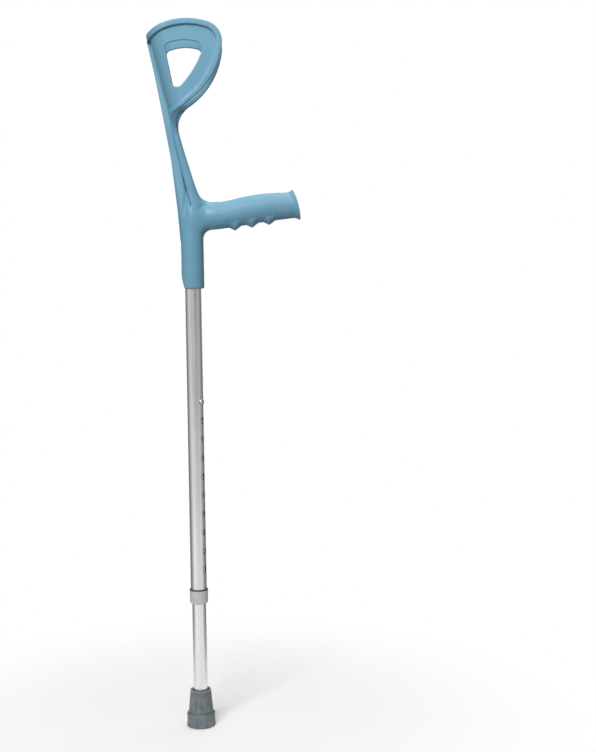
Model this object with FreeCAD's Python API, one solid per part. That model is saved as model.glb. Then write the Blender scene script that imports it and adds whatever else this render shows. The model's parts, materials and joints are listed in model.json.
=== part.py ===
import FreeCAD, Part
import math
import os

from FreeCAD import Vector

# Forearm crutch, in millimetres. The origin is the middle of the ferrule's foot,
# +Z runs up the tube, and the handgrip points along +X.

# Height adjustment
HOLE_PITCH = 25.4
HOLE_COUNT = 10
HOLE_DIA = 8.6
LOWEST_HOLE_Z = 216.0
BUTTON_Z = LOWEST_HOLE_Z + HOLE_PITCH * (HOLE_COUNT - 1)
BUTTON_TURN = -37.0

# Upper tube
UPPER_OD = 22.0
UPPER_ID = 19.6
UPPER_BOTTOM_Z = 171.0
UPPER_TOP_Z = 702.0

# Lower tube
LOWER_OD = 19.0
LOWER_ID = 16.0
LOWER_BOTTOM_Z = 10.0
LOWER_TOP_Z = 470.0

# Snap button and its leaf spring
BUTTON_DIA = 8.0
BUTTON_PROUD = 2.9
BUTTON_TAIL_DIA = 3.0
SPRING_FACE = 6.9
SPRING_THICK = 0.6
SPRING_WIDTH = 7.0
SPRING_BEND_Z = 400.0
SPRING_FAR_LEG = 40.0

# Guide plug on top of the lower tube
PLUG_OD = 19.5
PLUG_RIM = 2.5
PLUG_DEPTH = 12.0
PLUG_BORE = 9.0

# Anti-rattle collar
COLLAR_OD = 25.3
COLLAR_BOTTOM_Z = 168.5
COLLAR_HEIGHT = 20.0
COLLAR_BEAD = 4.5
COLLAR_STEP = 0.35
COLLAR_CHAMFER = 1.8
RUNNING_GAP = 0.1
PRESS_GAP = 0.05

# Ferrule
FERRULE_FOOT_DIA = 38.6
FERRULE_LEDGE_Z = 18.5
FERRULE_NECK_DIA = 33.6
FERRULE_TOP_Z = 50.0
FERRULE_TOP_DIA = 28.3
FERRULE_MOUTH_DIA = 24.4
FERRULE_MOUTH_DEPTH = 4.5
TREAD_DEPTH = 1.4
TREAD_WIDTH = 2.2
TREAD_RADII = (4.5, 9.5, 14.5)
WASHER_DIA = 20.4
WASHER_THICK = 1.5

# Sleeve of the handle moulding
SLEEVE_OD = 30.6
SLEEVE_BOTTOM_Z = 598.0
SLEEVE_TOP_Z = 700.0
SCARF_HEIGHT = 14.0
SCARF_DEPTH = 4.0

# Rivet through the back of the sleeve
RIVET_Z = 640.0
RIVET_DIA = 4.0
RIVET_HEAD_DIA = 7.4
RIVET_HEAD_THICK = 1.2
RIVET_BULGE_DIA = 5.8
RIVET_BULGE_LENGTH = 2.6
MANDREL_DIA = 2.2
SPOT_FACE_DEPTH = 1.2

# Cuff: a U-shaped shell about an axis that leans back, with a raised rim
CUFF_LEAN = 13.9
CUFF_BACK_X = -39.6
CUFF_BACK_Z = 885.0
SHELL_HALF_WIDTH = 35.5
SHELL_CORNER = 25.0
SHELL_THICK = 3.4
RIM_PROUD = 3.8
RIM_WIDTH = 7.8

# Stem between the cuff and the sleeve
SPINE_HALF_WIDTH = 7.5
SPINE_TOP_Z = 932.0
STEM_HALF_WIDTH = 13.5
STEM_ROUND = 4.5
CHANNEL_HALF_WIDTH = 8.5
CHANNEL_FLOOR = 3.4

# Handgrip, as (x, top, bottom, width) of its oval sections
GRIP_SECTIONS = (
    (6.0, 711.0, 678.0, 24.0),
    (26.0, 713.6, 677.2, 28.6),
    (48.0, 716.4, 679.2, 30.4),
    (72.0, 721.6, 682.6, 32.0),
    (98.0, 725.4, 686.4, 32.4),
    (124.0, 726.6, 689.6, 31.6),
    (135.0, 727.4, 690.4, 31.6),
    (143.0, 731.2, 688.6, 35.0),
    (152.0, 738.0, 684.0, 41.0),
)
GRIP_END = ((141.0, 740.0), (136.6, 729.6), (143.5, 711.0), (147.9, 687.2), (148.0, 680.0))
RIDGES = ((58.6, 675.6), (81.6, 678.8), (104.8, 682.2))
RIDGE_HALF_BASE = 8.5
RIDGE_HEIGHT = 8.0
RIDGE_CREST_RADIUS = 11.5
GRIP_LEAN = 7.0
CORE_X = 143.0
CORE_Z = 708.2
CORE_LENGTH = 98.0
CORE_HALF_HEIGHT = 11.0
CORE_HALF_WIDTH = 8.5
END_PLUG_FACE = 2.0
END_PLUG_LIP = 2.2
END_PLUG_SPIGOT = 9.0

X_AXIS = Vector(1, 0, 0)
Y_AXIS = Vector(0, 1, 0)
Z_AXIS = Vector(0, 0, 1)


def cylinder(diameter, bottom, top):
    """An upright solid cylinder on the tube axis."""
    return Part.makeCylinder(diameter / 2, top - bottom, Vector(0, 0, bottom), Z_AXIS)


def tube(outer, inner, bottom, top):
    return cylinder(outer, bottom, top).cut(cylinder(inner, bottom - 1, top + 1))


def revolved(points):
    """A turned solid from its (radius, z) outline."""
    wire = Part.makePolygon([Vector(r, 0, z) for r, z in points + points[:1]])
    return Part.Face(wire).revolve(Vector(0, 0, 0), Z_AXIS, 360)


def side_face(points):
    """A flat face in the XZ plane from its corners."""
    return Part.Face(Part.makePolygon([Vector(x, 0, z) for x, z in points + points[:1]]))


def side_prism(face, half_width):
    """The face in the XZ plane, drawn out both ways along Y."""
    lowered = face.copy()
    lowered.translate(Vector(0, -half_width, 0))
    return lowered.extrude(Vector(0, 2 * half_width, 0))


def front_prism(points, near_x, far_x):
    """An outline in the YZ plane, drawn out along X."""
    corners = [Vector(near_x, y, z) for y, z in points + points[:1]]
    return Part.Face(Part.makePolygon(corners)).extrude(Vector(far_x - near_x, 0, 0))


def arc(start, middle, end):
    """An arc edge in the XZ plane through three (x, z) points."""
    points = [Vector(x, 0, z) for x, z in (start, middle, end)]
    return Part.Arc(*points).toShape()


def curve(points):
    """A smooth edge in the XZ plane through (x, z) points."""
    spline = Part.BSplineCurve()
    spline.interpolate([Vector(x, 0, z) for x, z in points])
    return spline.toShape()


def line(start, end):
    return Part.makeLine(Vector(start[0], 0, start[1]), Vector(end[0], 0, end[1]))


# ---------------------------------------------------------------- cuff

def cuff_placed(shape):
    """Takes a shape from the cuff's own axes to its place on the crutch."""
    shape.rotate(Vector(0, 0, 0), Y_AXIS, -CUFF_LEAN)
    shape.translate(Vector(CUFF_BACK_X, 0, CUFF_BACK_Z))
    return shape


def u_prism(offset):
    """The room inside the cuff grown by offset, open at the front."""
    reach = 140.0
    height = 180.0
    half = SHELL_HALF_WIDTH + offset
    radius = SHELL_CORNER + offset
    block = Part.makeBox(reach, 2 * half, height, Vector(-offset, -half, -height / 2))
    back_edges = [e for e in block.Edges if is_back_upright(e, offset)]
    return cuff_placed(block.makeFillet(radius, back_edges))


def is_back_upright(edge, offset):
    low, high = edge.BoundBox.ZMin, edge.BoundBox.ZMax
    return high - low > 100 and abs(edge.BoundBox.XMax + offset) < 0.01


def wing_face(inset):
    """The side outline of the cuff, open-ended at the back, less an inset."""
    top_start = (-57.0, 937.0)
    top_turn = (24.6, 952.4)
    front = (45.2, 925.0)
    saddle = (-28.0, 833.7)
    behind = [(-90.0, 814.0), (-90.0, 911.0)]
    edges = [
        arc(top_start, (-15.2, 955.3), top_turn),
        arc(top_turn, (40.4, 941.2), front),
        arc(front, (31.5, 882.4), saddle),
    ]
    edges += [line(a, b) for a, b in zip([saddle] + behind, behind + [top_start])]
    face = Part.Face(Part.Wire(edges))
    if inset == 0:
        return face
    return face.makeOffset2D(-inset)


def cuff_window():
    """The rounded three-cornered hole through both wings."""
    top_back = (-24.5, 925.4)
    top_front = (12.5, 926.4)
    front = (17.2, 911.0)
    foot_front = (-9.5, 869.3)
    foot_back = (-21.6, 869.8)
    back = (-30.8, 918.0)
    edges = [
        arc(top_back, (-6.0, 930.0), top_front),
        arc(top_front, (17.7, 919.6), front),
        arc(front, (4.5, 887.0), foot_front),
        arc(foot_front, (-15.7, 866.6), foot_back),
        line(foot_back, back),
        arc(back, (-29.3, 922.9), top_back),
    ]
    return side_prism(Part.Face(Part.Wire(edges)), 60)


def cuff():
    wings = side_prism(wing_face(0), 60)
    inner_outline = side_prism(wing_face(RIM_WIDTH), 60)
    panel_outer = u_prism(0)
    panel_inner = u_prism(-SHELL_THICK)
    rim_outer = u_prism(RIM_PROUD)
    panel = panel_outer.cut(panel_inner).common(wings)
    rim = rim_outer.cut(panel_inner).common(wings.cut(inner_outline))
    return panel.fuse(rim).cut(cuff_window())


# ---------------------------------------------------------------- stem and sleeve

def spine():
    """The narrow rib down the back, from under the rim to the sleeve."""
    back = [(-56.1, SPINE_TOP_Z), (-45.3, 881.0), (-35.4, 826.0), (-26.2, 772.0), (-20.2, 717.0)]
    foot = [(-15.2, 663.0), (-9.0, 663.0)]
    front = [(-6.0, 731.0), (-18.0, 791.0), (-28.0, 846.0), (-37.0, 883.0), (-48.8, SPINE_TOP_Z)]
    return side_prism(side_face(back + foot + front), SPINE_HALF_WIDTH)


def stem_side():
    """The side outline of the stem's front part, with a smooth front edge."""
    crease = [(-14.0, 690.0), (-6.9, 731.0), (-14.2, 762.0), (-19.9, 791.0), (-24.0, 820.0), (-33.0, 857.0)]
    saddle = (-13.0, 834.0)
    waist = [(-15.4, 817.0), (-13.6, 804.0), (-4.6, 770.5), (8.2, 729.5), (17.7, 716.8), (33.0, 712.8)]
    base = [(33.0, 700.0), (14.0, 690.0)]
    edges = [line(a, b) for a, b in zip(crease, crease[1:])]
    edges.append(line(crease[-1], saddle))
    edges.append(curve([saddle] + waist))
    edges += [line(a, b) for a, b in zip(waist[-1:] + base, base + crease[:1])]
    return Part.Face(Part.Wire(edges))


def stem_front():
    """The wider front part: the side outline crossed with a front outline, flared into the cuff."""
    side = side_prism(stem_side(), 60)
    low = SLEEVE_OD / 2
    half = [(low, 690.0), (low, 712.0), (STEM_HALF_WIDTH, 760.0), (STEM_HALF_WIDTH, 860.0)]
    trunk = side.common(front_prism(half + mirrored(half), -60, 60))
    front_edges = [e for e in trunk.Edges if is_stem_corner(e)]
    trunk = trunk.makeFillet(STEM_ROUND, front_edges)
    flare_half = [(STEM_HALF_WIDTH, 806.0), (17.0, 819.0), (25.0, 834.0), (33.0, 857.0)]
    flare = side.common(front_prism(flare_half + mirrored(flare_half), -60, 60))
    return trunk.fuse(flare.common(u_prism(0)))


def is_stem_corner(edge):
    """True for the long edges between the stem's front face and its sides."""
    box = edge.BoundBox
    middle = edge.valueAt((edge.FirstParameter + edge.LastParameter) / 2)
    crease_x = -14.0 - (middle.z - 760.0) * 0.2
    return box.ZLength > 25 and middle.x > crease_x + 6 and middle.z > 712


def mirrored(half):
    """The other side of a half outline, in the order that closes it."""
    return [(-y, z) for y, z in reversed(half)]


def stem_channel():
    """The shallow hollow that carries the inside of the cuff down the stem."""
    floor = [(-42.0 + CHANNEL_FLOOR, 893.0), (-24.0 + CHANNEL_FLOOR, 820.0), (-19.4 + CHANNEL_FLOOR, 791.0)]
    rise = [(-8.0, 758.0), (5.0, 758.0), (5.0, 893.0)]
    return side_prism(side_face(floor + rise), CHANNEL_HALF_WIDTH)


def sleeve():
    body = cylinder(SLEEVE_OD, SLEEVE_BOTTOM_Z, SLEEVE_TOP_Z)
    dome = Part.makeSphere(SLEEVE_OD / 2, Vector(0, 0, SLEEVE_TOP_Z))
    body = body.fuse(dome)
    back = -SLEEVE_OD / 2
    scarf = side_face([
        (back - 2, SLEEVE_BOTTOM_Z + SCARF_HEIGHT * 1.5),
        (back + SCARF_DEPTH, SLEEVE_BOTTOM_Z),
        (back + SCARF_DEPTH, SLEEVE_BOTTOM_Z - 2),
        (back - 2, SLEEVE_BOTTOM_Z - 2),
    ])
    return body.cut(side_prism(scarf, 30))


def tube_bore():
    return cylinder(UPPER_OD + 2 * PRESS_GAP, SLEEVE_BOTTOM_Z - 1, UPPER_TOP_Z)


# ---------------------------------------------------------------- grip

def oval(x, top, bottom, width):
    """An upright oval wire across the grip."""
    half_height = (top - bottom) / 2
    centre = Vector(x, 0, (top + bottom) / 2)
    tall = half_height >= width / 2
    major = Vector(0, 0, half_height) if tall else Vector(0, width / 2, 0)
    minor = Vector(0, width / 2, 0) if tall else Vector(0, 0, -half_height)
    ellipse = Part.Ellipse(centre + major, centre + minor, centre)
    return Part.Wire([ellipse.toShape()])


def grip_blank():
    loft = Part.makeLoft([oval(*section) for section in GRIP_SECTIONS], True, False)
    end = GRIP_END
    cap = [arc(end[1], end[2], end[3])]
    cap.append(line(end[3], (end[4][0], 660.0)))
    cap.append(line((end[4][0], 660.0), (0.0, 660.0)))
    cap.append(line((0.0, 660.0), (0.0, 760.0)))
    cap.append(line((0.0, 760.0), (end[0][0] - 6.0, 760.0)))
    cap.append(line((end[0][0] - 6.0, 760.0), end[1]))
    return loft.common(side_prism(Part.Face(Part.Wire(cap)), 40))


def finger_ridge(x, tip):
    """One pointed ridge under the grip, whose crest is an arc across it."""
    profile = side_face([
        (x - RIDGE_HALF_BASE, tip + RIDGE_HEIGHT - 1.0),
        (x, tip),
        (x + RIDGE_HALF_BASE, tip + RIDGE_HEIGHT + 1.0),
    ])
    axis_at = Vector(x - 20, 0, tip + RIDGE_CREST_RADIUS)
    drum = Part.makeCylinder(RIDGE_CREST_RADIUS, 40, axis_at, X_AXIS)
    return side_prism(profile, 20).common(drum)


def along_grip(shape):
    """Takes a shape made along +X from the origin to the grip's leaning axis."""
    shape.rotate(Vector(0, 0, 0), Y_AXIS, -GRIP_LEAN)
    shape.translate(Vector(CORE_X, 0, CORE_Z))
    return shape


def oval_bar(half_height, half_width, start, end):
    """An oval bar along X, before it is laid on the grip's axis."""
    ellipse = Part.Ellipse(Vector(start, 0, half_height), Vector(start, half_width, 0), Vector(start, 0, 0))
    return Part.Face(Part.Wire([ellipse.toShape()])).extrude(Vector(end - start, 0, 0))


def grip_core():
    """The moulding core's hollow, with a step for the end plug's face."""
    hole = oval_bar(CORE_HALF_HEIGHT, CORE_HALF_WIDTH, -CORE_LENGTH, 30)
    lip_height = CORE_HALF_HEIGHT + END_PLUG_LIP
    lip_width = CORE_HALF_WIDTH + END_PLUG_LIP
    step = oval_bar(lip_height, lip_width, -END_PLUG_FACE, 30)
    return along_grip(hole.fuse(step))


def grip_end_plug():
    gap = 2 * PRESS_GAP
    lip_height = CORE_HALF_HEIGHT + END_PLUG_LIP - gap
    lip_width = CORE_HALF_WIDTH + END_PLUG_LIP - gap
    face = oval_bar(lip_height, lip_width, -END_PLUG_FACE, 0.6)
    spigot = oval_bar(CORE_HALF_HEIGHT - gap, CORE_HALF_WIDTH - gap, -END_PLUG_FACE - END_PLUG_SPIGOT, 0)
    return along_grip(face.fuse(spigot))


# ---------------------------------------------------------------- handle moulding

def rivet_hole(diameter):
    return Part.makeCylinder(diameter / 2, SLEEVE_OD, Vector(-SLEEVE_OD, 0, RIVET_Z), X_AXIS)


def spot_face():
    """A flat seat for the rivet's head in the back of the sleeve."""
    face_x = -SLEEVE_OD / 2 + SPOT_FACE_DEPTH
    radius = RIVET_HEAD_DIA / 2 + 0.4
    return Part.makeCylinder(radius, 20, Vector(face_x, 0, RIVET_Z), Vector(-1, 0, 0))


def handle_moulding():
    stem = stem_front().cut(stem_channel())
    body = sleeve().fuse([grip_blank(), stem, spine(), cuff()])
    body = body.fuse([finger_ridge(x, tip) for x, tip in RIDGES])
    body = body.cut([tube_bore(), grip_core(), rivet_hole(RIVET_DIA + 0.2), spot_face()])
    return body.removeSplitter()


# ---------------------------------------------------------------- tubes and rivet

def button_direction():
    """Outwards through the row of holes."""
    turn = math.radians(BUTTON_TURN)
    return Vector(math.cos(turn), math.sin(turn), 0)


def hole_cutter(diameter, z, start):
    start_at = button_direction() * start + Vector(0, 0, z)
    return Part.makeCylinder(diameter / 2, 20, start_at, button_direction())


def upper_tube():
    shape = tube(UPPER_OD, UPPER_ID, UPPER_BOTTOM_Z, UPPER_TOP_Z)
    holes = [hole_cutter(HOLE_DIA, LOWEST_HOLE_Z + i * HOLE_PITCH, 2) for i in range(HOLE_COUNT)]
    return shape.cut(holes + [rivet_hole(RIVET_DIA + 0.2)])


def lower_tube():
    shape = tube(LOWER_OD, LOWER_ID, LOWER_BOTTOM_Z, LOWER_TOP_Z)
    return shape.cut(hole_cutter(BUTTON_DIA + 0.4, BUTTON_Z, 2))


def rivet_body():
    seat_x = -SLEEVE_OD / 2 + SPOT_FACE_DEPTH
    seat_at = Vector(seat_x, 0, RIVET_Z)
    head = Part.makeCylinder(RIVET_HEAD_DIA / 2, RIVET_HEAD_THICK, seat_at, Vector(-1, 0, 0))
    inside_x = -UPPER_ID / 2 + 0.3
    shank = Part.makeCylinder(RIVET_DIA / 2, inside_x - seat_x, seat_at, X_AXIS)
    bulge_at = Vector(inside_x, 0, RIVET_Z)
    bulge = Part.makeCylinder(RIVET_BULGE_DIA / 2, RIVET_BULGE_LENGTH, bulge_at, X_AXIS)
    bore = Part.makeCylinder(MANDREL_DIA / 2 + PRESS_GAP, 60, Vector(-40, 0, RIVET_Z), X_AXIS)
    return head.fuse([shank, bulge]).cut(bore)


def rivet_mandrel():
    """What stays of the pulling pin: a short stem and the head inside the bulge."""
    start_x = -SLEEVE_OD / 2 + SPOT_FACE_DEPTH + 0.8
    inside_x = -UPPER_ID / 2 + 0.3 + RIVET_BULGE_LENGTH
    stem = Part.makeCylinder(MANDREL_DIA / 2, inside_x - start_x, Vector(start_x, 0, RIVET_Z), X_AXIS)
    head = Part.makeCylinder(RIVET_DIA / 2, 1.2, Vector(inside_x, 0, RIVET_Z), X_AXIS)
    return stem.fuse(head)


def anti_rattle_collar():
    """A moulded cap ring on the upper tube's end, whose lip guides the lower tube."""
    outer = COLLAR_OD / 2
    waist = outer - COLLAR_STEP
    seat = UPPER_OD / 2 + PRESS_GAP
    lip = LOWER_OD / 2 + RUNNING_GAP
    top = COLLAR_BOTTOM_Z + COLLAR_HEIGHT
    bead = top - COLLAR_BEAD
    return revolved([
        (lip, COLLAR_BOTTOM_Z),
        (waist - COLLAR_CHAMFER, COLLAR_BOTTOM_Z),
        (waist, COLLAR_BOTTOM_Z + COLLAR_CHAMFER),
        (waist, bead - COLLAR_STEP),
        (outer, bead),
        (outer, top - 0.6),
        (outer - 0.6, top),
        (seat + 0.7, top),
        (seat, top - 1.6),
        (seat, UPPER_BOTTOM_Z),
        (lip, UPPER_BOTTOM_Z),
    ])


def guide_plug():
    """A moulded plug that centres the lower tube inside the upper one."""
    rim = cylinder(PLUG_OD, LOWER_TOP_Z, LOWER_TOP_Z + PLUG_RIM)
    spigot = cylinder(LOWER_ID - 2 * PRESS_GAP, LOWER_TOP_Z - PLUG_DEPTH, LOWER_TOP_Z)
    bore = cylinder(PLUG_BORE, LOWER_TOP_Z - PLUG_DEPTH - 1, LOWER_TOP_Z + PLUG_RIM + 1)
    return rim.fuse(spigot).cut(bore)


# ---------------------------------------------------------------- snap button

def turned_to_holes(shape):
    """Takes a shape made on +X to the direction of the row of holes."""
    shape.rotate(Vector(0, 0, 0), Z_AXIS, BUTTON_TURN)
    return shape


def snap_button():
    """A domed pin with a riveted tail, standing on the spring's face."""
    tip = UPPER_OD / 2 + BUTTON_PROUD
    dome_height = 2.6
    radius = BUTTON_DIA / 2
    shank = Part.makeCylinder(radius, tip - dome_height - SPRING_FACE, Vector(SPRING_FACE, 0, 0), X_AXIS)
    ball_radius = (radius ** 2 + dome_height ** 2) / (2 * dome_height)
    ball = Part.makeSphere(ball_radius, Vector(tip - ball_radius, 0, 0))
    cap = Part.makeCylinder(radius, dome_height, Vector(tip - dome_height, 0, 0), X_AXIS).common(ball)
    tail_start = SPRING_FACE - SPRING_THICK - 0.9
    tail = Part.makeCylinder(BUTTON_TAIL_DIA / 2, SPRING_FACE - tail_start, Vector(tail_start, 0, 0), X_AXIS)
    head = Part.makeCylinder(BUTTON_TAIL_DIA / 2 + 0.8, 0.9, Vector(tail_start, 0, 0), X_AXIS)
    button = shank.fuse([cap, tail, head])
    button.translate(Vector(0, 0, BUTTON_Z))
    return turned_to_holes(button)


def snap_spring():
    """A hairpin of spring strip: a leg under the button, a bend, a leg on the far wall."""
    half = SPRING_WIDTH / 2
    thick = SPRING_THICK
    near_length = BUTTON_Z + 9.0 - SPRING_BEND_Z
    near = Part.makeBox(thick, 2 * half, near_length, Vector(SPRING_FACE - thick, -half, SPRING_BEND_Z))
    far = Part.makeBox(thick, 2 * half, SPRING_FAR_LEG, Vector(-SPRING_FACE, -half, SPRING_BEND_Z))
    centre = Vector(0, -half, SPRING_BEND_Z)
    drum = Part.makeCylinder(SPRING_FACE, 2 * half, centre, Y_AXIS)
    drum = drum.cut(Part.makeCylinder(SPRING_FACE - thick, 2 * half, centre, Y_AXIS))
    below = Part.makeBox(40, 40, SPRING_FACE + 1, Vector(-20, -20, SPRING_BEND_Z - SPRING_FACE - 1))
    strip = near.fuse([far, drum.common(below)])
    tail_hole = Part.makeCylinder(BUTTON_TAIL_DIA / 2 + PRESS_GAP, 10, Vector(2, 0, BUTTON_Z), X_AXIS)
    return turned_to_holes(strip.cut(tail_hole))


# ---------------------------------------------------------------- ferrule

def ferrule():
    """The rubber foot: a flared mouth, a tapered neck, a ledge and a treaded base."""
    foot = FERRULE_FOOT_DIA / 2
    neck = FERRULE_NECK_DIA / 2
    top = FERRULE_TOP_DIA / 2
    mouth = FERRULE_MOUTH_DIA / 2
    socket = LOWER_OD / 2
    pocket = WASHER_DIA / 2 + PRESS_GAP
    washer_bottom = LOWER_BOTTOM_Z - WASHER_THICK
    body = revolved([
        (0, 0),
        (foot - 1.4, 0),
        (foot - 0.2, 0.7),
        (foot + 0.3, 2.2),
        (foot - 0.2, 6.0),
        (foot - 0.2, FERRULE_LEDGE_Z - 1.0),
        (foot - 1.0, FERRULE_LEDGE_Z),
        (neck + 0.6, FERRULE_LEDGE_Z + 1.4),
        (neck, FERRULE_LEDGE_Z + 4.0),
        (top, FERRULE_TOP_Z - 1.0),
        (top - 0.8, FERRULE_TOP_Z),
        (mouth, FERRULE_TOP_Z),
        (socket + 0.6, FERRULE_TOP_Z - FERRULE_MOUTH_DEPTH),
        (socket, FERRULE_TOP_Z - FERRULE_MOUTH_DEPTH - 1.5),
        (socket, LOWER_BOTTOM_Z),
        (pocket, LOWER_BOTTOM_Z),
        (pocket, washer_bottom),
        (0, washer_bottom),
    ])
    for radius in TREAD_RADII:
        groove = tube(2 * radius + TREAD_WIDTH, 2 * radius - TREAD_WIDTH, -1, TREAD_DEPTH)
        body = body.cut(groove)
    return body


def ferrule_washer():
    return cylinder(WASHER_DIA, LOWER_BOTTOM_Z - WASHER_THICK, LOWER_BOTTOM_Z)


NODES = {
    "handle_moulding": handle_moulding,
    "grip_end_plug": grip_end_plug,
    "upper_tube": upper_tube,
    "rivet_body": rivet_body,
    "rivet_mandrel": rivet_mandrel,
    "anti_rattle_collar": anti_rattle_collar,
    "lower_tube": lower_tube,
    "guide_plug": guide_plug,
    "snap_spring": snap_spring,
    "snap_button": snap_button,
    "ferrule": ferrule,
    "ferrule_washer": ferrule_washer,
}


def main():
    os.makedirs("parts", exist_ok=True)
    for name, make in NODES.items():
        shape = make()
        shape.exportStep(f"parts/{name}.step")
        print(name, len(shape.Solids), "solid,", round(shape.Volume), "mm3, valid", shape.isValid())


main()
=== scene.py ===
import json
import math

import bmesh
import bpy
import numpy as np
from mathutils import Matrix, Vector


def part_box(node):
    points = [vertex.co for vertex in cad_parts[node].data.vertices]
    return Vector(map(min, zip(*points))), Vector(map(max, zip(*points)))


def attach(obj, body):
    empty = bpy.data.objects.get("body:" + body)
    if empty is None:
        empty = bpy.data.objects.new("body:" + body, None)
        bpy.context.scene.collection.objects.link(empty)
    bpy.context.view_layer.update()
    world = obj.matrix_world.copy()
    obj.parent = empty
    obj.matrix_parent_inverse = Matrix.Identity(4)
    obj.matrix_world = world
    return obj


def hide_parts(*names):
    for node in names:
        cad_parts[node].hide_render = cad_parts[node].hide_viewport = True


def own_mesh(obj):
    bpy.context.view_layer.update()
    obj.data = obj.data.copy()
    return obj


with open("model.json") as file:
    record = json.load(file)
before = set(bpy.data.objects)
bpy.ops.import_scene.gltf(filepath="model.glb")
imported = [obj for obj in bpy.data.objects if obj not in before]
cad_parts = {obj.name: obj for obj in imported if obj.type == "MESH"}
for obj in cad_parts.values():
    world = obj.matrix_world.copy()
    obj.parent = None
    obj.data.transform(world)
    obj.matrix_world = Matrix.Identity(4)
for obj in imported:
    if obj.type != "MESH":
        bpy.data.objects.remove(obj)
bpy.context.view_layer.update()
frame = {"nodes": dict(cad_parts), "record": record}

MM = 0.001

# =====================================================================
# Distance fields, in millimetres: negative inside a solid
# =====================================================================


def common(a, b, r):
    """Where both solids are, with the edge between them rounded to r."""
    qa = a + r
    qb = b + r
    outside = np.hypot(np.maximum(qa, 0), np.maximum(qb, 0))
    return outside + np.minimum(np.maximum(qa, qb), 0) - r


def union(a, b, r):
    """Either solid, with a fillet of radius r where they meet."""
    return -common(-a, -b, r)


def cut(a, b, r):
    """The first solid less the second, with the new edge rounded to r."""
    return common(a, -b, r)


def slab(d, low, high):
    """The distance to the band where d runs from low to high."""
    return np.abs(d - (low + high) / 2) - (high - low) / 2


def ramp(t):
    """A smooth step from 0 to 1."""
    t = np.clip(t, 0, 1)
    return t * t * (3 - 2 * t)


def rise(value, start, length):
    """A smooth step from 0 at start to 1 a length further on; a negative length runs the other way."""
    return ramp((value - start) / length)


def mix(a, b, t):
    return a + (b - a) * t


def along_line(z, line):
    """The x of a line of (x, z) points, rising in z, at each height."""
    return np.interp(z, [p[1] for p in line], [p[0] for p in line])


def polygon_distance(x, z, corners):
    """The signed distance in the XZ plane to a closed outline."""
    x, z = np.broadcast_arrays(x, z)
    best = np.full(x.shape, 1e9)
    inside = np.zeros(x.shape, bool)
    count = len(corners)
    for i in range(count):
        ax, az = corners[i]
        bx, bz = corners[(i + 1) % count]
        ex, ez = bx - ax, bz - az
        px, pz = x - ax, z - az
        t = np.clip((px * ex + pz * ez) / max(ex * ex + ez * ez, 1e-9), 0, 1)
        best = np.minimum(best, (px - ex * t) ** 2 + (pz - ez * t) ** 2)
        if az != bz:
            crosses = (az > z) != (bz > z)
            inside ^= crosses & (px < pz * ex / ez)
    return np.where(inside, -1, 1) * np.sqrt(best)


def arc_points(start, middle, end, steps):
    """Points along the arc through three points, without its last one."""
    (ax, az), (bx, bz), (cx, cz) = start, middle, end
    d = 2 * (ax * (bz - cz) + bx * (cz - az) + cx * (az - bz))
    a2, b2, c2 = ax * ax + az * az, bx * bx + bz * bz, cx * cx + cz * cz
    ux = (a2 * (bz - cz) + b2 * (cz - az) + c2 * (az - bz)) / d
    uz = (a2 * (cx - bx) + b2 * (ax - cx) + c2 * (bx - ax)) / d
    radius = math.hypot(ax - ux, az - uz)
    first = math.atan2(az - uz, ax - ux)
    last = math.atan2(cz - uz, cx - ux)
    turn = (last - first) % (2 * math.pi)
    through = (math.atan2(bz - uz, bx - ux) - first) % (2 * math.pi)
    if through > turn:
        turn -= 2 * math.pi
    angles = [first + turn * i / steps for i in range(steps)]
    return [(ux + radius * math.cos(a), uz + radius * math.sin(a)) for a in angles]


def spline_points(points, steps):
    """Points along a smooth curve through the given ones."""
    out = []
    padded = [points[0]] + list(points) + [points[-1]]
    for p0, p1, p2, p3 in zip(padded, padded[1:], padded[2:], padded[3:]):
        for i in range(steps):
            t = i / steps
            w = (
                -0.5 * t + t * t - 0.5 * t ** 3,
                1 - 2.5 * t * t + 1.5 * t ** 3,
                0.5 * t + 2 * t * t - 1.5 * t ** 3,
                -0.5 * t * t + 0.5 * t ** 3,
            )
            out.append(tuple(sum(k * p[axis] for k, p in zip(w, (p0, p1, p2, p3))) for axis in (0, 1)))
    return out + [tuple(points[-1])]


def smooth_table(x, rows, column):
    """A smooth curve through one column of rows whose first column is x."""
    xs = np.array([row[0] for row in rows], float)
    ys = np.array([row[column] for row in rows], float)
    slope = np.gradient(ys, xs)
    x = np.clip(x, xs[0], xs[-1])
    i = np.clip(np.searchsorted(xs, x) - 1, 0, len(xs) - 2)
    width = xs[i + 1] - xs[i]
    t = (x - xs[i]) / width
    low = (2 * t ** 3 - 3 * t ** 2 + 1) * ys[i] + (t ** 3 - 2 * t ** 2 + t) * width * slope[i]
    high = (-2 * t ** 3 + 3 * t ** 2) * ys[i + 1] + (t ** 3 - t ** 2) * width * slope[i + 1]
    return low + high


# =====================================================================
# The handle moulding: cuff, stem, handgrip and sleeve in one piece
# =====================================================================

# A pair such as RIM_WIDENS says where along its axis a change starts, and over what length.

# Cuff
LEAN = math.radians(13.9)
CUFF_BACK = (-39.6, 885.0)
SHELL_HALF_WIDTH = 35.5
SHELL_CORNER = 25.0
SHELL_THICK = 3.4
RIM_PROUD = 3.8
RIM_WIDTH = 7.8
RIM_FOOT_WIDTH = 5.4
RIM_WIDENS = (842.0, 40.0)
RIM_ROUND = 1.5
RIM_FILLET = 1.0
RIM_SEAM_GAP = 0.5
RIM_LEAVES_SEAM = (850.0, 10.0)
PANEL_INSET = 2.0
PANEL_ROUND = 0.5
FAR_AWAY = 60.0
WING = (
    arc_points((-57.0, 937.0), (-15.2, 955.3), (24.6, 952.4), 20)
    + arc_points((24.6, 952.4), (40.4, 941.2), (45.2, 925.0), 12)
    + arc_points((45.2, 925.0), (31.5, 882.4), (0.0, 848.2), 24)
    + [(0.0, 848.2), (-31.0, 826.5), (-90.0, 800.0), (-90.0, 911.0)]
)
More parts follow.
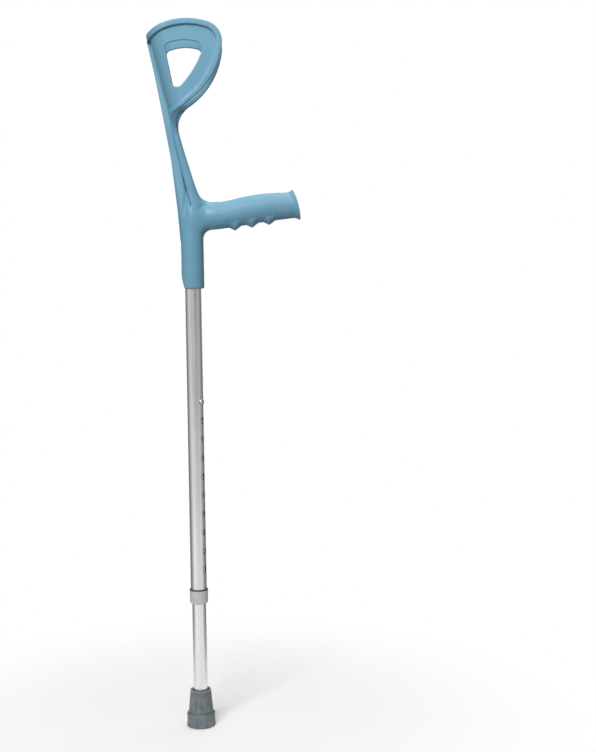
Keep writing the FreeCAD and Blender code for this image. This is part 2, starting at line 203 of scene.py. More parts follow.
WINDOW = (
    arc_points((-24.5, 924.4), (-6.0, 927.6), (12.0, 925.2), 10)
    + arc_points((12.0, 925.2), (17.4, 919.2), (17.2, 911.0), 8)
    + arc_points((17.2, 911.0), (4.5, 887.0), (-9.5, 869.3), 10)
    + arc_points((-9.5, 869.3), (-15.7, 866.6), (-21.6, 869.8), 8)
    + [(-21.6, 869.8)]
    + arc_points((-30.8, 917.0), (-29.3, 921.9), (-24.5, 924.4), 6)
)
WINDOW_ROUND = 1.3

# Stem
CREASE = [(-14.0, 690.0), (-6.9, 731.0), (-14.2, 762.0), (-19.9, 791.0), (-24.0, 820.0), (-33.0, 857.0)]
WEB = [(-20.0, 858.0), (4.0, 857.0), (2.6, 850.6)]
STEM_FRONT = [
    (2.6, 850.6), (-5.6, 844.0), (-11.4, 836.0), (-14.4, 829.0), (-15.9, 822.0), (-15.7, 812.0),
    (-12.6, 799.0), (-4.6, 770.5), (8.2, 729.5), (17.7, 716.8), (33.0, 712.8),
]
STEM_BASE = [(33.0, 711.0), (12.0, 700.0), (6.0, 690.0)]
STEM_SIDE = CREASE + WEB + spline_points(STEM_FRONT, 6) + STEM_BASE
STEM_HALF_WIDTH = 13.5
STEM_FOOT_INSET = 0.9
STEM_LEAVES_SLEEVE = (705.0, 55.0)
STEM_NOSE = 2.0
STEM_THINS = (6.0, 24.0)
STEM_ROUND = 4.5
STEM_FOOT_ROUND = 11.0
STEM_FOOT_ROUNDS = (752.0, -40.0)
STEM_TOP_SHARPENS = (818.0, 24.0)
CREASE_ROUND = 1.5
CREASE_REACH = 7.0
FLARE = 26.0
FLARE_START = 806.0
FLARE_LENGTH = 36.0
FLARE_CURVE = 1.55
WALL_LETS_GO = (822.0, -14.0)
WALL_AWAY = 40.0
WALL_EDGE = 1.0
CHANNEL_WALL = 5.0
CHANNEL_FLOOR = 5.5
CHANNEL_SKIN = 3.0
CHANNEL_DEEPENS = (752.0, 50.0)
CHANNEL_ROUND = 3.0
CHANNEL_LIP = 1.6

# The sink line between stem and spine
SEAM = [
    (-0.8, 711.5), (-6.6, 731.0), (-13.2, 762.0), (-19.6, 791.0),
    (-24.4, 820.0), (-28.6, 838.0), (-53.6, 930.0),
]
SEAM_LEAN = 0.965
SEAM_WIDTH = 0.8
SEAM_DEPTH = 1.35
SEAM_END_DEPTH = 1.1
SEAM_END = (740.0, -14.0)
SEAM_FOOT = (704.0, 8.0)
SEAM_HEAD = (934.0, -6.0)
SEAM_OUTSIDE = (5.0, 2.0)

# Spine
SPINE_BACK = [
    (-15.3, 663.0), (-20.2, 717.0), (-26.2, 772.0), (-35.4, 826.0),
    (-45.3, 881.0), (-54.6, 925.0), (-56.1, 932.0),
]
SPINE_FRONT = [
    (-6.0, 650.0), (-6.0, 731.0), (-18.0, 791.0), (-28.0, 846.0),
    (-37.0, 883.0), (-47.2, 925.0), (-48.8, 932.0),
]
SPINE_HALF_WIDTH = 7.5
SPINE_FOOT_INSET = 3.3
SPINE_NARROWS = (690.0, 110.0)
SPINE_FOOT_SHARE = 0.3
SPINE_EMERGES = (650.0, 46.0)
SPINE_ROUND = 1.6
SPINE_FOOT_ROUND = 9.0
SPINE_SHARPENS = (680.0, 90.0)
SPINE_DRAFT = 1.6
SPINE_DRAFT_DEPTH = 8.0
NOTCH = (-52.6, 928.2)
NOTCH_RADIUS = 2.3
NOTCH_FLATTENED = 0.7
NOTCH_FLOOR = 3.0

# Sleeve
SLEEVE_RADIUS = 15.3
SLEEVE_BOTTOM = 598.0
SLEEVE_TOP = 718.0
SLEEVE_CROWN = 12.0
SLEEVE_TAPER = 2.6
SLEEVE_TAPERS = (668.0, 44.0)
SLEEVE_MOUTH_ROUND = 2.2
SCARF_X = -11.2
SCARF_NORMAL = (0.966, 0.258)
SCARF_ROUND = 1.5
BORE_RADIUS = 11.05
BORE_TOP = 702.0
BORE_CHAMFER = 1.1
RIVET_Z = 640.0
RIVET_SEAT_X = -14.1
RIVET_SEAT_RADIUS = 4.1
RIVET_HOLE_RADIUS = 2.1

# Handgrip: x, top, bottom and width of its oval sections
GRIP = [
    (0.0, 711.0, 677.6, 24.0),
    (26.0, 713.6, 677.2, 28.6),
    (48.0, 716.4, 679.4, 30.4),
    (72.0, 721.6, 682.8, 32.0),
    (98.0, 725.2, 686.8, 32.4),
    (124.0, 726.3, 690.0, 31.6),
    (152.0, 726.6, 693.0, 31.0),
]
GRIP_END_CENTRE = (11.6, 677.4)
GRIP_END_RADIUS = 136.0
GRIP_END_ROUND = 1.5
LIP_FLARE = 4.4
LIP_LENGTH = 9.5
RIDGE_XS = (58.6, 81.6, 104.8)
RIDGE_HEIGHT = 5.4
RIDGE_REACH = 8.6
RIDGE_CURVE = 1.15
RIDGE_SIDE = math.radians(47)
RIDGE_FADE = math.radians(28)
CORE_AXIS = (143.0, 708.2)
CORE_LEAN = math.radians(7.0)
CORE_LENGTH = 98.0
CORE_HALF = (11.0, 8.5)
PLUG_LIP = 2.2
PLUG_FACE = 2.0

# Fillets where the parts of the moulding meet
CUFF_FILLET = 0.6
GRIP_FILLET = 12.0
ELBOW_FILLET = 8.0
ELBOW_SIDE_FILLET = 1.6
ELBOW_SIDE = (4.0, 8.0)
SPINE_FOOT_FILLET = 3.5
SPINE_FILLET = 0.6
SPINE_FILLET_SHRINKS = (690.0, 40.0)
CUT_EDGE = 0.3


def wall_distance(x, y, z):
    """The distance outwards from the outer wall of the leaning cuff, which is a U seen from above."""
    forward = (x - CUFF_BACK[0]) * math.cos(LEAN) + (z - CUFF_BACK[1]) * math.sin(LEAN)
    behind = SHELL_CORNER - forward
    beside = y - (SHELL_HALF_WIDTH - SHELL_CORNER)
    corner = np.hypot(np.maximum(behind, 0), np.maximum(beside, 0))
    return corner + np.minimum(np.maximum(behind, beside), 0) - SHELL_CORNER


def rim_width(z):
    """The raised rim narrows towards its foot at the stem."""
    return mix(RIM_FOOT_WIDTH, RIM_WIDTH, rise(z, *RIM_WIDENS))


def cuff_field(x, z, wall, wing):
    """The cuff's thin panel with its raised rim, less the window."""
    window = polygon_distance(x, z, WINDOW)
    panel = common(slab(wall, -SHELL_THICK, 0), wing + PANEL_INSET, PANEL_ROUND)
    across = np.maximum(wing, -wing - rim_width(z))
    rim = common(slab(wall, -SHELL_THICK, RIM_PROUD), across, RIM_ROUND)
    ahead_of_seam = seam_x(z) - RIM_SEAM_GAP - x - FAR_AWAY * rise(z, *RIM_LEAVES_SEAM)
    rim = common(rim, ahead_of_seam, PANEL_ROUND)
    return cut(union(panel, rim, RIM_FILLET), window, WINDOW_ROUND)


def stem_field(x, y, z, wall, wing):
    """The wide front part of the stem, flared into the cuff's rim and hollowed down its front."""
    side = polygon_distance(x, z, STEM_SIDE)
    crease = along_line(z, CREASE)
    low = mix(SLEEVE_RADIUS - STEM_FOOT_INSET, STEM_HALF_WIDTH, rise(z, *STEM_LEAVES_SLEEVE))
    half = mix(low, STEM_NOSE, rise(x, *STEM_THINS))
    half = half + FLARE * np.clip((z - FLARE_START) / FLARE_LENGTH, 0, 1) ** FLARE_CURVE
    edge = mix(CREASE_ROUND, STEM_ROUND, rise(x, crease, CREASE_REACH))
    edge = mix(edge, STEM_FOOT_ROUND, rise(z, *STEM_FOOT_ROUNDS))
    edge = mix(edge, RIM_ROUND, rise(z, *STEM_TOP_SHARPENS))
    trunk = common(side, y - half, edge)
    trunk = common(trunk, wall - RIM_PROUD - WALL_AWAY * rise(z, *WALL_LETS_GO), WALL_EDGE)
    trunk = common(trunk, -wing - rim_width(z), RIM_ROUND)
    front = along_line(z, STEM_FRONT[::-1])
    floor = mix(front + CHANNEL_SKIN, crease + CHANNEL_FLOOR, rise(z, *CHANNEL_DEEPENS))
    channel = common(floor - x, y - (half - CHANNEL_WALL), CHANNEL_ROUND)
    return cut(trunk, channel, CHANNEL_LIP)


def spine_field(x, y, z):
    """The rib down the back, narrower behind, widening into the sleeve."""
    side = polygon_distance(x, z, SPINE_BACK[::-1] + SPINE_FRONT)
    half = mix(SLEEVE_RADIUS - SPINE_FOOT_INSET, SPINE_HALF_WIDTH, rise(z, *SPINE_NARROWS))
    back = along_line(z, SPINE_BACK)
    half = half - SPINE_DRAFT * np.clip(1 - (x - back) / SPINE_DRAFT_DEPTH, 0, 1)
    half = half * mix(SPINE_FOOT_SHARE, 1.0, rise(z, *SPINE_EMERGES))
    round_off = mix(SPINE_FOOT_ROUND, SPINE_ROUND, rise(z, *SPINE_SHARPENS))
    return common(side, y - half, round_off)


def grip_field(x, y, z):
    """The leaning oval grip with its ridges, its flared lip and its curved end."""
    top = smooth_table(x, GRIP, 1)
    bottom = smooth_table(x, GRIP, 2)
    half_width = smooth_table(x, GRIP, 3) / 2
    half_height = (top - bottom) / 2
    rise = z - (top + bottom) / 2
    k0 = np.hypot(y / half_width, rise / half_height)
    k1 = np.hypot(y / half_width ** 2, rise / half_height ** 2)
    oval = k0 * (k0 - 1) / np.maximum(k1, 1e-6)
    end = np.hypot(x - GRIP_END_CENTRE[0], z - GRIP_END_CENTRE[1]) - GRIP_END_RADIUS
    flare = LIP_FLARE * np.clip(1 + end / LIP_LENGTH, 0, 1.2) ** 2
    below = np.arctan2(y, -rise)
    fade = np.clip((RIDGE_SIDE - below) / RIDGE_FADE, 0, 1)
    ridges = 0
    for ridge_x in RIDGE_XS:
        away = np.sqrt((x - ridge_x) ** 2 + 0.5) / RIDGE_REACH
        ridges = ridges + np.clip(1 - away, 0, 1) ** RIDGE_CURVE
    body = oval - flare - RIDGE_HEIGHT * ridges * fade
    return common(common(body, end, GRIP_END_ROUND), -x, 0.5)


def sleeve_field(x, y, z):
    """The round sleeve, tapered and crowned inside the elbow, with its lower back corner cut away."""
    outer = np.hypot(x, y) - SLEEVE_RADIUS + SLEEVE_TAPER * rise(z, *SLEEVE_TAPERS)
    tube = common(outer, SLEEVE_BOTTOM - z, SLEEVE_MOUTH_ROUND)
    tube = common(tube, z - SLEEVE_TOP, SLEEVE_CROWN)
    scarf = -(x - SCARF_X) * SCARF_NORMAL[0] - (z - SLEEVE_BOTTOM) * SCARF_NORMAL[1]
    return common(tube, scarf, SCARF_ROUND)


def hollows(x, y, z):
    """Everything cored out: the tube's bore, the grip's core and the rivet's seat."""
    radius = np.hypot(x, y)
    mouth = np.clip(BORE_CHAMFER - (z - SLEEVE_BOTTOM), 0, 3)
    bore = np.maximum(radius - BORE_RADIUS - mouth, z - BORE_TOP)
    along = (x - CORE_AXIS[0]) * math.cos(CORE_LEAN) + (z - CORE_AXIS[1]) * math.sin(CORE_LEAN)
    across = -(x - CORE_AXIS[0]) * math.sin(CORE_LEAN) + (z - CORE_AXIS[1]) * math.cos(CORE_LEAN)
    k0 = np.hypot(across / CORE_HALF[0], y / CORE_HALF[1])
    core = (k0 - 1) * CORE_HALF[1]
    k1 = np.hypot(across / (CORE_HALF[0] + PLUG_LIP), y / (CORE_HALF[1] + PLUG_LIP))
    seat = (k1 - 1) * (CORE_HALF[1] + PLUG_LIP)
    core = np.maximum(core, -along - CORE_LENGTH)
    seat = np.maximum(seat, -along - PLUG_FACE)
    rivet = np.hypot(y, z - RIVET_Z)
    spot = np.maximum(rivet - RIVET_SEAT_RADIUS, x - RIVET_SEAT_X)
    hole = np.maximum(rivet - RIVET_HOLE_RADIUS, x)
    return np.minimum(np.minimum(bore, np.minimum(core, seat)), np.minimum(spot, hole))


def seam_x(z):
    """Where the sink line between spine and stem lies at each height."""
    return along_line(z, SEAM)


def seam_groove(x, y, z):
    """How deep the sink line is; only on the moulding's sides, and deepest at its lower end."""
    away = (x - seam_x(z)) * SEAM_LEAN / SEAM_WIDTH
    deep = SEAM_DEPTH + SEAM_END_DEPTH * rise(z, *SEAM_END)
    return deep * np.exp(-away ** 2) * rise(y, *SEAM_OUTSIDE) * rise(z, *SEAM_FOOT) * rise(z, *SEAM_HEAD)


def pocket(x, y, z):
    """The dark pocket under the rim at the spine's top."""
    across = np.hypot(x - NOTCH[0], (z - NOTCH[1]) * NOTCH_FLATTENED) - NOTCH_RADIUS
    return np.maximum(across, NOTCH_FLOOR - y)


def moulding_field(x, y, z):
    """The whole moulding; it is the same on both sides."""
    y = np.abs(y)
    wall = wall_distance(x, y, z)
    wing = polygon_distance(x, z, WING)
    upper = union(stem_field(x, y, z, wall, wing), cuff_field(x, z, wall, wing), CUFF_FILLET)
    lower = union(sleeve_field(x, y, z), grip_field(x, y, z), GRIP_FILLET)
    body = union(upper, lower, mix(ELBOW_FILLET, ELBOW_SIDE_FILLET, rise(y, *ELBOW_SIDE)))
    spine_fillet = mix(SPINE_FOOT_FILLET, SPINE_FILLET, rise(z, *SPINE_FILLET_SHRINKS))
    body = union(body, spine_field(x, y, z), spine_fillet)
    body = body + seam_groove(x, y, z)
    body = cut(body, pocket(x, y, z), CUT_EDGE)
    return cut(body, hollows(x, y, z), CUT_EDGE)


# Meshing, in millimetres, or in cells of the grid
CELL = 1.2
FINE_CELL = 0.42
FINE_LINES = 7
GRID_PAD = 3.0
SETTLE_STEP = 0.05
SETTLE_REACH = 0.6
NORMAL_STEP = 0.15


def surface_net(values):
    """A quad mesh, in steps of the grid, of where the sampled field crosses zero."""
    inside = values < 0
    nx, ny, nz = (n - 1 for n in values.shape)
    corners = [(i, j, k) for i in (0, 1) for j in (0, 1) for k in (0, 1)]

    def at(a, c):
        return a[c[0]:c[0] + nx, c[1]:c[1] + ny, c[2]:c[2] + nz]

    count = sum(at(inside, c).astype(np.int8) for c in corners)
    active = (count > 0) & (count < 8)
    index = np.full(active.shape, -1, np.int64)
    index[active] = np.arange(active.sum())
    total = np.zeros((active.sum(), 3))
    hits = np.zeros(active.sum())
    value_at = {c: at(values, c)[active] for c in corners}
    for a in corners:
        for axis in range(3):
            if a[axis]:
                continue
            b = tuple(1 if i == axis else a[i] for i in range(3))
            fa, fb = value_at[a], value_at[b]
            crossed = (fa < 0) != (fb < 0)
            t = np.where(crossed, fa / np.where(crossed, fa - fb, 1), 0)
            point = np.array(a, float)[None, :].repeat(len(fa), 0)
            point[:, axis] = t
            total += point * crossed[:, None]
            hits += crossed
    cells = np.argwhere(active)
    points = cells + total / hits[:, None]
    faces = []
    for axis in range(3):
        others = [i for i in range(3) if i != axis]
        start = [slice(1, -1)] * 3
        start[axis] = slice(0, -1)
        stop = [slice(1, -1)] * 3
        stop[axis] = slice(1, None)
        one, two = inside[tuple(start)], inside[tuple(stop)]
        for flip in (False, True):
            edges = np.argwhere(one & ~two if flip else ~one & two)
            edges[:, others] += 1
            ring = []
            for du, dv in ((0, 0), (1, 0), (1, 1), (0, 1)):
                cell_at = edges.copy()
                cell_at[:, others[0]] -= du
                cell_at[:, others[1]] -= dv
                ring.append(index[tuple(cell_at.T)])
            quad = np.stack(ring, 1)
            if flip == (axis == 1):
                quad = quad[:, ::-1]
            faces.append(quad)
    return points, np.concatenate(faces)


def gradient(field, points, step):
    """The field's slope at each point, from points a step to either side."""
    out = np.zeros_like(points)
    for axis in range(3):
        shift = np.zeros(3)
        shift[axis] = step
        ahead = field(*(points + shift).T)
        behind = field(*(points - shift).T)
        out[:, axis] = (ahead - behind) / (2 * step)
    return out


def settle(field, points, cell):
    """Moves each point onto the field's true surface, by at most a share of a cell."""
    start = points.copy()
    for _ in range(3):
        slope = gradient(field, points, SETTLE_STEP)
        size = np.maximum((slope ** 2).sum(1), 0.25)
        points = points - slope * (field(*points.T) / size)[:, None]
    moved = points - start
    length = np.linalg.norm(moved, axis=1, keepdims=True)
    return start + moved * np.minimum(1, SETTLE_REACH * cell / np.maximum(length, 1e-9))


def grid_lines(low, high, cell):
    """Even grid lines, with finer ones about zero."""
    inner = np.arange(-FINE_LINES, FINE_LINES + 1) * FINE_CELL * cell
    left = np.arange(inner[0] - cell, low - cell, -cell)[::-1]
    right = np.arange(inner[-1] + cell, high + cell, cell)
    return np.concatenate([left, inner, right])


def field_mesh(name, field, low, high, cell):
    """A mesh object, in metres, from a field in millimetres that is the same on both sides.

    The grid leans with the sink line, so that the line runs along the grid's lines and not across them.
    """
    half = int(math.ceil(high[1] / cell)) + 1
    ys = (np.arange(half) + 0.5) * cell
    zs = np.arange(low[2], high[2] + cell, cell)
    shift = seam_x(zs)
    xs = grid_lines(low[0] - shift.max(), high[0] - shift.min(), cell)
    values = field(xs[:, None, None] + shift[None, None, :], ys[None, :, None], zs[None, None, :])
    values = np.concatenate([values[:, ::-1, :], values], axis=1)
    ys = np.concatenate([-ys[::-1], ys])
    steps, faces = surface_net(values)
    columns = [np.interp(step, np.arange(len(line)), line) for step, line in zip(steps.T, (xs, ys, zs))]
    points = np.stack(columns, 1)
    points[:, 0] += np.interp(points[:, 2], zs, shift)
    points = settle(field, points, cell)
    mesh = bpy.data.meshes.new(name)
    mesh.vertices.add(len(points))
    mesh.vertices.foreach_set("co", (points * MM).ravel())
    mesh.loops.add(faces.size)
    mesh.loops.foreach_set("vertex_index", faces.ravel().astype(np.int32))
    mesh.polygons.add(len(faces))
    mesh.polygons.foreach_set("loop_start", np.arange(0, faces.size, 4, dtype=np.int32))
    mesh.polygons.foreach_set("loop_total", np.full(len(faces), 4, np.int32))
    mesh.update(calc_edges=True)
    mesh.validate()
    mesh.polygons.foreach_set("use_smooth", [True] * len(mesh.polygons))
    normals = gradient(field, points, NORMAL_STEP)
    normals /= np.maximum(np.linalg.norm(normals, axis=1, keepdims=True), 1e-9)
    mesh.normals_split_custom_set_from_vertices(normals)
    return link(name, mesh)


def make_moulding():
    low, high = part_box("handle_moulding")
    low = [c / MM - GRID_PAD for c in low]
    high = [c / MM + GRID_PAD for c in high]
    cell = CELL
    piece = field_mesh("moulding", moulding_field, low, high, cell)
    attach(piece, "upper")
    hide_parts("handle_moulding")
    return piece


# =====================================================================
# Turned and small pieces
# =====================================================================


TREAD_RADII = (4.5, 9.5, 14.5)
FERRULE_LEDGE = 18.5
FERRULE_MOUTH = 13.4


def link(name, mesh):
    piece = bpy.data.objects.new(name, mesh)
    bpy.context.scene.collection.objects.link(piece)
    return piece


def smooth_outline(points, rounds, steps=5):
    """A turned outline whose corners are rounded, each by its own radius."""
    out = []
    for i, (point, radius) in enumerate(zip(points, rounds)):
        here = np.array(point, float)
        if radius == 0 or i in (0, len(points) - 1):
            out.append(tuple(here))
            continue
        before = np.array(points[i - 1]) - here
        after = np.array(points[i + 1]) - here
        reach = min(radius, 0.49 * np.linalg.norm(before), 0.49 * np.linalg.norm(after))
        start = here + before / np.linalg.norm(before) * reach
        end = here + after / np.linalg.norm(after) * reach
        for k in range(steps + 1):
            t = k / steps
            out.append(tuple((1 - t) ** 2 * start + 2 * t * (1 - t) * here + t * t * end))
    return out


def turned(name, outline, turns=96, closed=True, wobble=None):
    """A lathe mesh about the tube axis from (radius, z) points in millimetres."""
    points = []
    rows = len(outline)
    for radius, z in outline:
        for k in range(turns):
            angle = 2 * math.pi * k / turns
            r = radius + (wobble(radius, z, angle) if wobble else 0)
            points.append((r * math.cos(angle) * MM, r * math.sin(angle) * MM, z * MM))
    faces = []
    for i in range(rows if closed else rows - 1):
        j = (i + 1) % rows
        for k in range(turns):
            m = (k + 1) % turns
            faces.append((i * turns + k, j * turns + k, j * turns + m, i * turns + m))
    mesh = bpy.data.meshes.new(name)
    mesh.from_pydata(points, [], faces)
    mesh.validate()
    mesh.polygons.foreach_set("use_smooth", [True] * len(mesh.polygons))
    return link(name, mesh)


def outward(mesh):
    """Turns every face outwards."""
    work = bmesh.new()
    work.from_mesh(mesh)
    bmesh.ops.remove_doubles(work, verts=work.verts, dist=1e-6)
    bmesh.ops.recalc_face_normals(work, faces=work.faces)
    work.to_mesh(mesh)
    work.free()


def make_collar():
    """The collar: a waist, a bead in two rings, and a thin lip that stands clear of the tube."""
    low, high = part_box("anti_rattle_collar")
    bottom, top = low.z / MM, high.z / MM
    outer = high.x / MM
    lower_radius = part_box("lower_tube")[1].x / MM
    tube_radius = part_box("upper_tube")[1].x / MM
    waist = outer - 0.35
    gap = tube_radius + 1.1
    bead = top - 6.2
    middle = top - 4.0
    under = top - 1.8
    points = [
        (lower_radius + 0.1, bottom + 0.2), (lower_radius + 0.4, bottom), (waist - 1.9, bottom),
        (waist, bottom + 1.9), (waist, bead - 0.4), (outer, bead), (outer, middle - 0.3),
        (outer - 0.25, middle), (outer, middle + 0.3), (outer, under), (outer - 0.5, under + 0.25),
        (outer - 0.5, top - 0.1), (outer - 0.6, top), (gap + 0.1, top), (gap, top - 0.6),
        (tube_radius + 0.06, top - 4.0), (tube_radius + 0.06, bottom + 2.6),
        (lower_radius + 0.1, bottom + 2.5),
    ]
    rounds = [0, 0.2, 0.5, 0.9, 0.3, 0.5, 0.5, 0.2, 0.5, 0.3, 0.15, 0.1, 0.1, 0.1, 0.3, 0.5, 0.1, 0]

    def gate(radius, z, angle):
        """The raised line that the mould's gate leaves."""
        seam = math.exp(-((math.sin((angle - 0.9) / 2) / 0.012) ** 2))
        return 0.05 * seam if radius > waist - 0.1 else 0

    piece = turned("collar", smooth_outline(points, rounds), turns=144, wobble=gate)
    outward(piece.data)
    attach(piece, "upper")
    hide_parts("anti_rattle_collar")
    return piece


def make_ferrule():
    """The rubber foot: ringed tread, ledge, tapering neck, and a mouth that the tube goes into."""
    _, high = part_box("ferrule")
    top = high.z / MM
    foot = high.x / MM - 0.3
    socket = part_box("lower_tube")[1].x / MM
    washer_low, washer_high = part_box("ferrule_washer")
    washer_hole = washer_high.x / MM + 0.05
    ledge = FERRULE_LEDGE
    points = [(0, 0)]
    rounds = [0]
    for radius in TREAD_RADII:
        points += [(radius - 1.1, 0), (radius - 0.8, 1.4), (radius + 0.8, 1.4), (radius + 1.1, 0)]
        rounds += [0.2, 0.3, 0.3, 0.2]
    points += [
        (foot - 1.4, 0), (foot + 0.2, 1.2), (foot + 0.3, 2.6), (foot - 0.25, 5.5),
        (foot - 0.35, ledge - 3.4), (foot - 0.05, ledge - 2.4), (foot + 0.1, ledge - 0.9),
        (foot - 0.9, ledge + 0.3), (17.3, ledge + 0.5), (16.5, ledge + 0.2), (16.7, ledge + 3.0),
        (14.2, top - 3.2), (14.0, top - 2.0), (14.35, top - 1.1), (14.1, top), (12.4, top),
        (11.9, top - 1.2), (socket + 0.5, top - 4.8), (socket + 0.02, top - 7),
        (socket + 0.02, washer_high.z / MM), (washer_hole, washer_high.z / MM),
        (washer_hole, washer_low.z / MM), (0, washer_low.z / MM),
    ]
    rounds += [0.9, 0.9, 1.4, 2.0, 0.6, 0.6, 0.5, 0.4, 0.5, 1.2, 0.6]
    rounds += [0.4, 0.4, 0.4, 0.4, 1.0, 1.5, 0.5, 0, 0, 0, 0]

    def mould(radius, z, angle):
        """Twelve faint flats up the neck and a parting line."""
        if radius <= FERRULE_MOUTH:
            return 0
        neck = rise(z, ledge + 2, 4) * rise(z, top - 3, -6)
        flats = -0.16 * (0.5 - 0.5 * math.cos(12 * angle)) * neck
        seam = math.exp(-((math.sin(angle - 0.35) / 0.02) ** 2))
        return flats + 0.09 * seam

    piece = turned("rubber_ferrule", smooth_outline(points, rounds), turns=168, wobble=mould)
    outward(piece.data)
    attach(piece, "lower")
    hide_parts("ferrule")
    return piece


BUTTON_TURN = math.radians(-37.0)
BUTTON_OUT = Vector((math.cos(BUTTON_TURN), math.sin(BUTTON_TURN), 0))
SPRING_FACE = 6.9


def make_button():
    """The polished dome, turned and laid along the row of holes."""
    low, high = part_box("snap_button")
    height = (low.z + high.z) / 2
    tip = 13.9
    crown = 2.7
    base = SPRING_FACE
    radius = 4.0
    tail = [
        (0, base - 1.5), (2.1, base - 1.4), (2.3, base - 1.0),
        (2.1, base - 0.62), (1.5, base - 0.6), (1.5, base),
    ]
    side = [(radius - 0.3, base), (radius, base + 0.3), (radius, tip - crown)]
    angles = np.linspace(0.06, math.pi / 2 - 0.02, 14)
    dome = [(radius * math.cos(a), tip - crown + crown * math.sin(a)) for a in angles]
    outline = tail + smooth_outline(side + dome, [0, 0.3, 0.3] + [0] * len(dome)) + [(0, tip)]
    piece = turned("button_dome", outline, turns=48, closed=False)
    outward(piece.data)
    piece.data.transform(BUTTON_OUT.to_track_quat("Z", "Y").to_matrix().to_4x4())
    piece.data.transform(Matrix.Translation((0, 0, height)))
    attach(piece, "button")
    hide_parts("snap_button")
    return piece


def lofted(name, rings):
    """A closed mesh through rings of the same number of points, in millimetres."""
    points = [Vector(p) * MM for ring in rings for p in ring]
    size = len(rings[0])
    faces = [tuple(range(size))]
    for i in range(len(rings) - 1):
        for k in range(size):
            m = (k + 1) % size
            faces.append((i * size + k, (i + 1) * size + k, (i + 1) * size + m, i * size + m))
    faces.append(tuple(range((len(rings) - 1) * size, len(rings) * size)))
    mesh = bpy.data.meshes.new(name)
    mesh.from_pydata(points, [], faces)
    mesh.validate()
    outward(mesh)
    mesh.polygons.foreach_set("use_smooth", [True] * len(mesh.polygons))
    return link(name, mesh)


def make_grip_plug():
    """The oval plug in the grip's end: a crowned face with a shallow dish, and its spigot."""
    lip = (CORE_HALF[0] + PLUG_LIP - 0.1, CORE_HALF[1] + PLUG_LIP - 0.1)
    spigot = (CORE_HALF[0] - 0.1, CORE_HALF[1] - 0.1)
    profile = [
        (spigot, -10.6, 0.86), (spigot, -9.6, 0.97), (spigot, -8.6, 1.0), (spigot, -2.3, 1.0),
        (spigot, -2.0, 1.0), (lip, -2.0, 0.98), (lip, -1.7, 1.0), (lip, -0.3, 1.0), (lip, 0.15, 0.975),
        (lip, 0.45, 0.92), (lip, 0.58, 0.82), (lip, 0.60, 0.74), (lip, 0.50, 0.70), (lip, 0.15, 0.66),
        (lip, 0.02, 0.60), (lip, 0.0, 0.40), (lip, 0.0, 0.12),
    ]
    rings = []
    for (tall, wide), along, scale in profile:
        ring = []
        for k in range(72):
            angle = 2 * math.pi * k / 72
            up = tall * scale * math.cos(angle)
            x = along * math.cos(CORE_LEAN) - up * math.sin(CORE_LEAN)
            z = along * math.sin(CORE_LEAN) + up * math.cos(CORE_LEAN)
            ring.append((x + CORE_AXIS[0], wide * scale * math.sin(angle), z + CORE_AXIS[1]))
        rings.append(ring)
    piece = lofted("grip_plug", rings)
    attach(piece, "upper")
    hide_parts("grip_end_plug")
    return piece


def make_rivet():
    """The blind rivet: a domed flange, its shank and the bulge pulled up behind the tube's wall."""
    seat = -RIVET_SEAT_X
    bulge_end = 6.9
    bore = 1.15
    points = [
        (bore, seat + 1.0), (1.9, seat + 1.15), (3.0, seat + 0.75), (3.7, seat + 0.12), (3.65, seat),
        (2.0, seat), (2.0, 9.5), (2.9, 9.1), (2.9, 7.5), (2.2, bulge_end), (bore, bulge_end),
    ]
    rounds = [0, 0.3, 0.6, 0.1, 0.05, 0.05, 0.3, 0.5, 0.5, 0.3, 0]
    piece = turned("rivet_flange", smooth_outline(points, rounds), turns=48)
    outward(piece.data)
    piece.data.transform(Matrix.Rotation(math.radians(-90), 4, "Y"))
    piece.data.transform(Matrix.Translation((0, 0, RIVET_Z * MM)))
    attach(piece, "upper")
    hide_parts("rivet_body")
    return piece


def make_spring():
    """The hairpin of spring strip, whose near leg gives as the button is pressed; it is made here at
    rest.
    """
    _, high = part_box("snap_spring")
    bend = 400.0
    reach = 6.6
    thick = 0.6
    half = 3.5
    corners = ((-1, -1), (-0.94, -1), (0.94, -1), (1, -1), (1, 1), (0.94, 1), (-0.94, 1), (-1, 1))
    path = [(reach, z) for z in np.linspace(high.z / MM - 0.3, bend, 26)]
    path += [(reach * math.cos(a), bend + reach * math.sin(a)) for a in np.linspace(0, -math.pi, 25)[1:]]
    path += [(-reach, z) for z in np.linspace(bend, bend + 40.0, 14)[1:]]
    rings = []
    for i, (out, z) in enumerate(path):
        before, after = path[max(i - 1, 0)], path[min(i + 1, len(path) - 1)]
        along = Vector((after[0] - before[0], after[1] - before[1])).normalized()
        side = Vector((-along.y, along.x)) * (thick / 2)
        from_end = min(i, len(path) - 1 - i)
        width = half * (0.72 + 0.28 * min(1, from_end / 2))
        ring = []
        for across, offset in corners:
            shrink = 0.8 if abs(across) == 1 else 1.0
            ring.append((out + side.x * offset * shrink, width * across, z + side.y * offset * shrink))
        rings.append(ring)
    piece = lofted("spring_strip", rings)
    piece.data.transform(Matrix.Rotation(BUTTON_TURN, 4, "Z"))
    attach(piece, "lower")
    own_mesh(piece)
    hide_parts("snap_spring")
    return piece


PIECES = {
    "moulding_plastic": [make_moulding(), make_grip_plug()],
    "collar_plastic": [make_collar()],
    "ferrule_rubber": [make_ferrule()],
    "button_steel": [make_button()],
    "rivet_aluminium": [make_rivet()],
    "spring_steel": [make_spring()],
}

# =====================================================================
# Materials
# =====================================================================


def material(name, colour, rough, metal=0.0):
    """A Principled material, its nodes, and its shader."""
    made = bpy.data.materials.new(name)
    made.use_nodes = True
    nodes = made.node_tree.nodes
    shader = nodes["Principled BSDF"]
    shader.inputs["Base Color"].default_value = (*colour, 1)
    shader.inputs["Roughness"].default_value = rough
    shader.inputs["Metallic"].default_value = metal
    return made, nodes, made.node_tree.links, shader


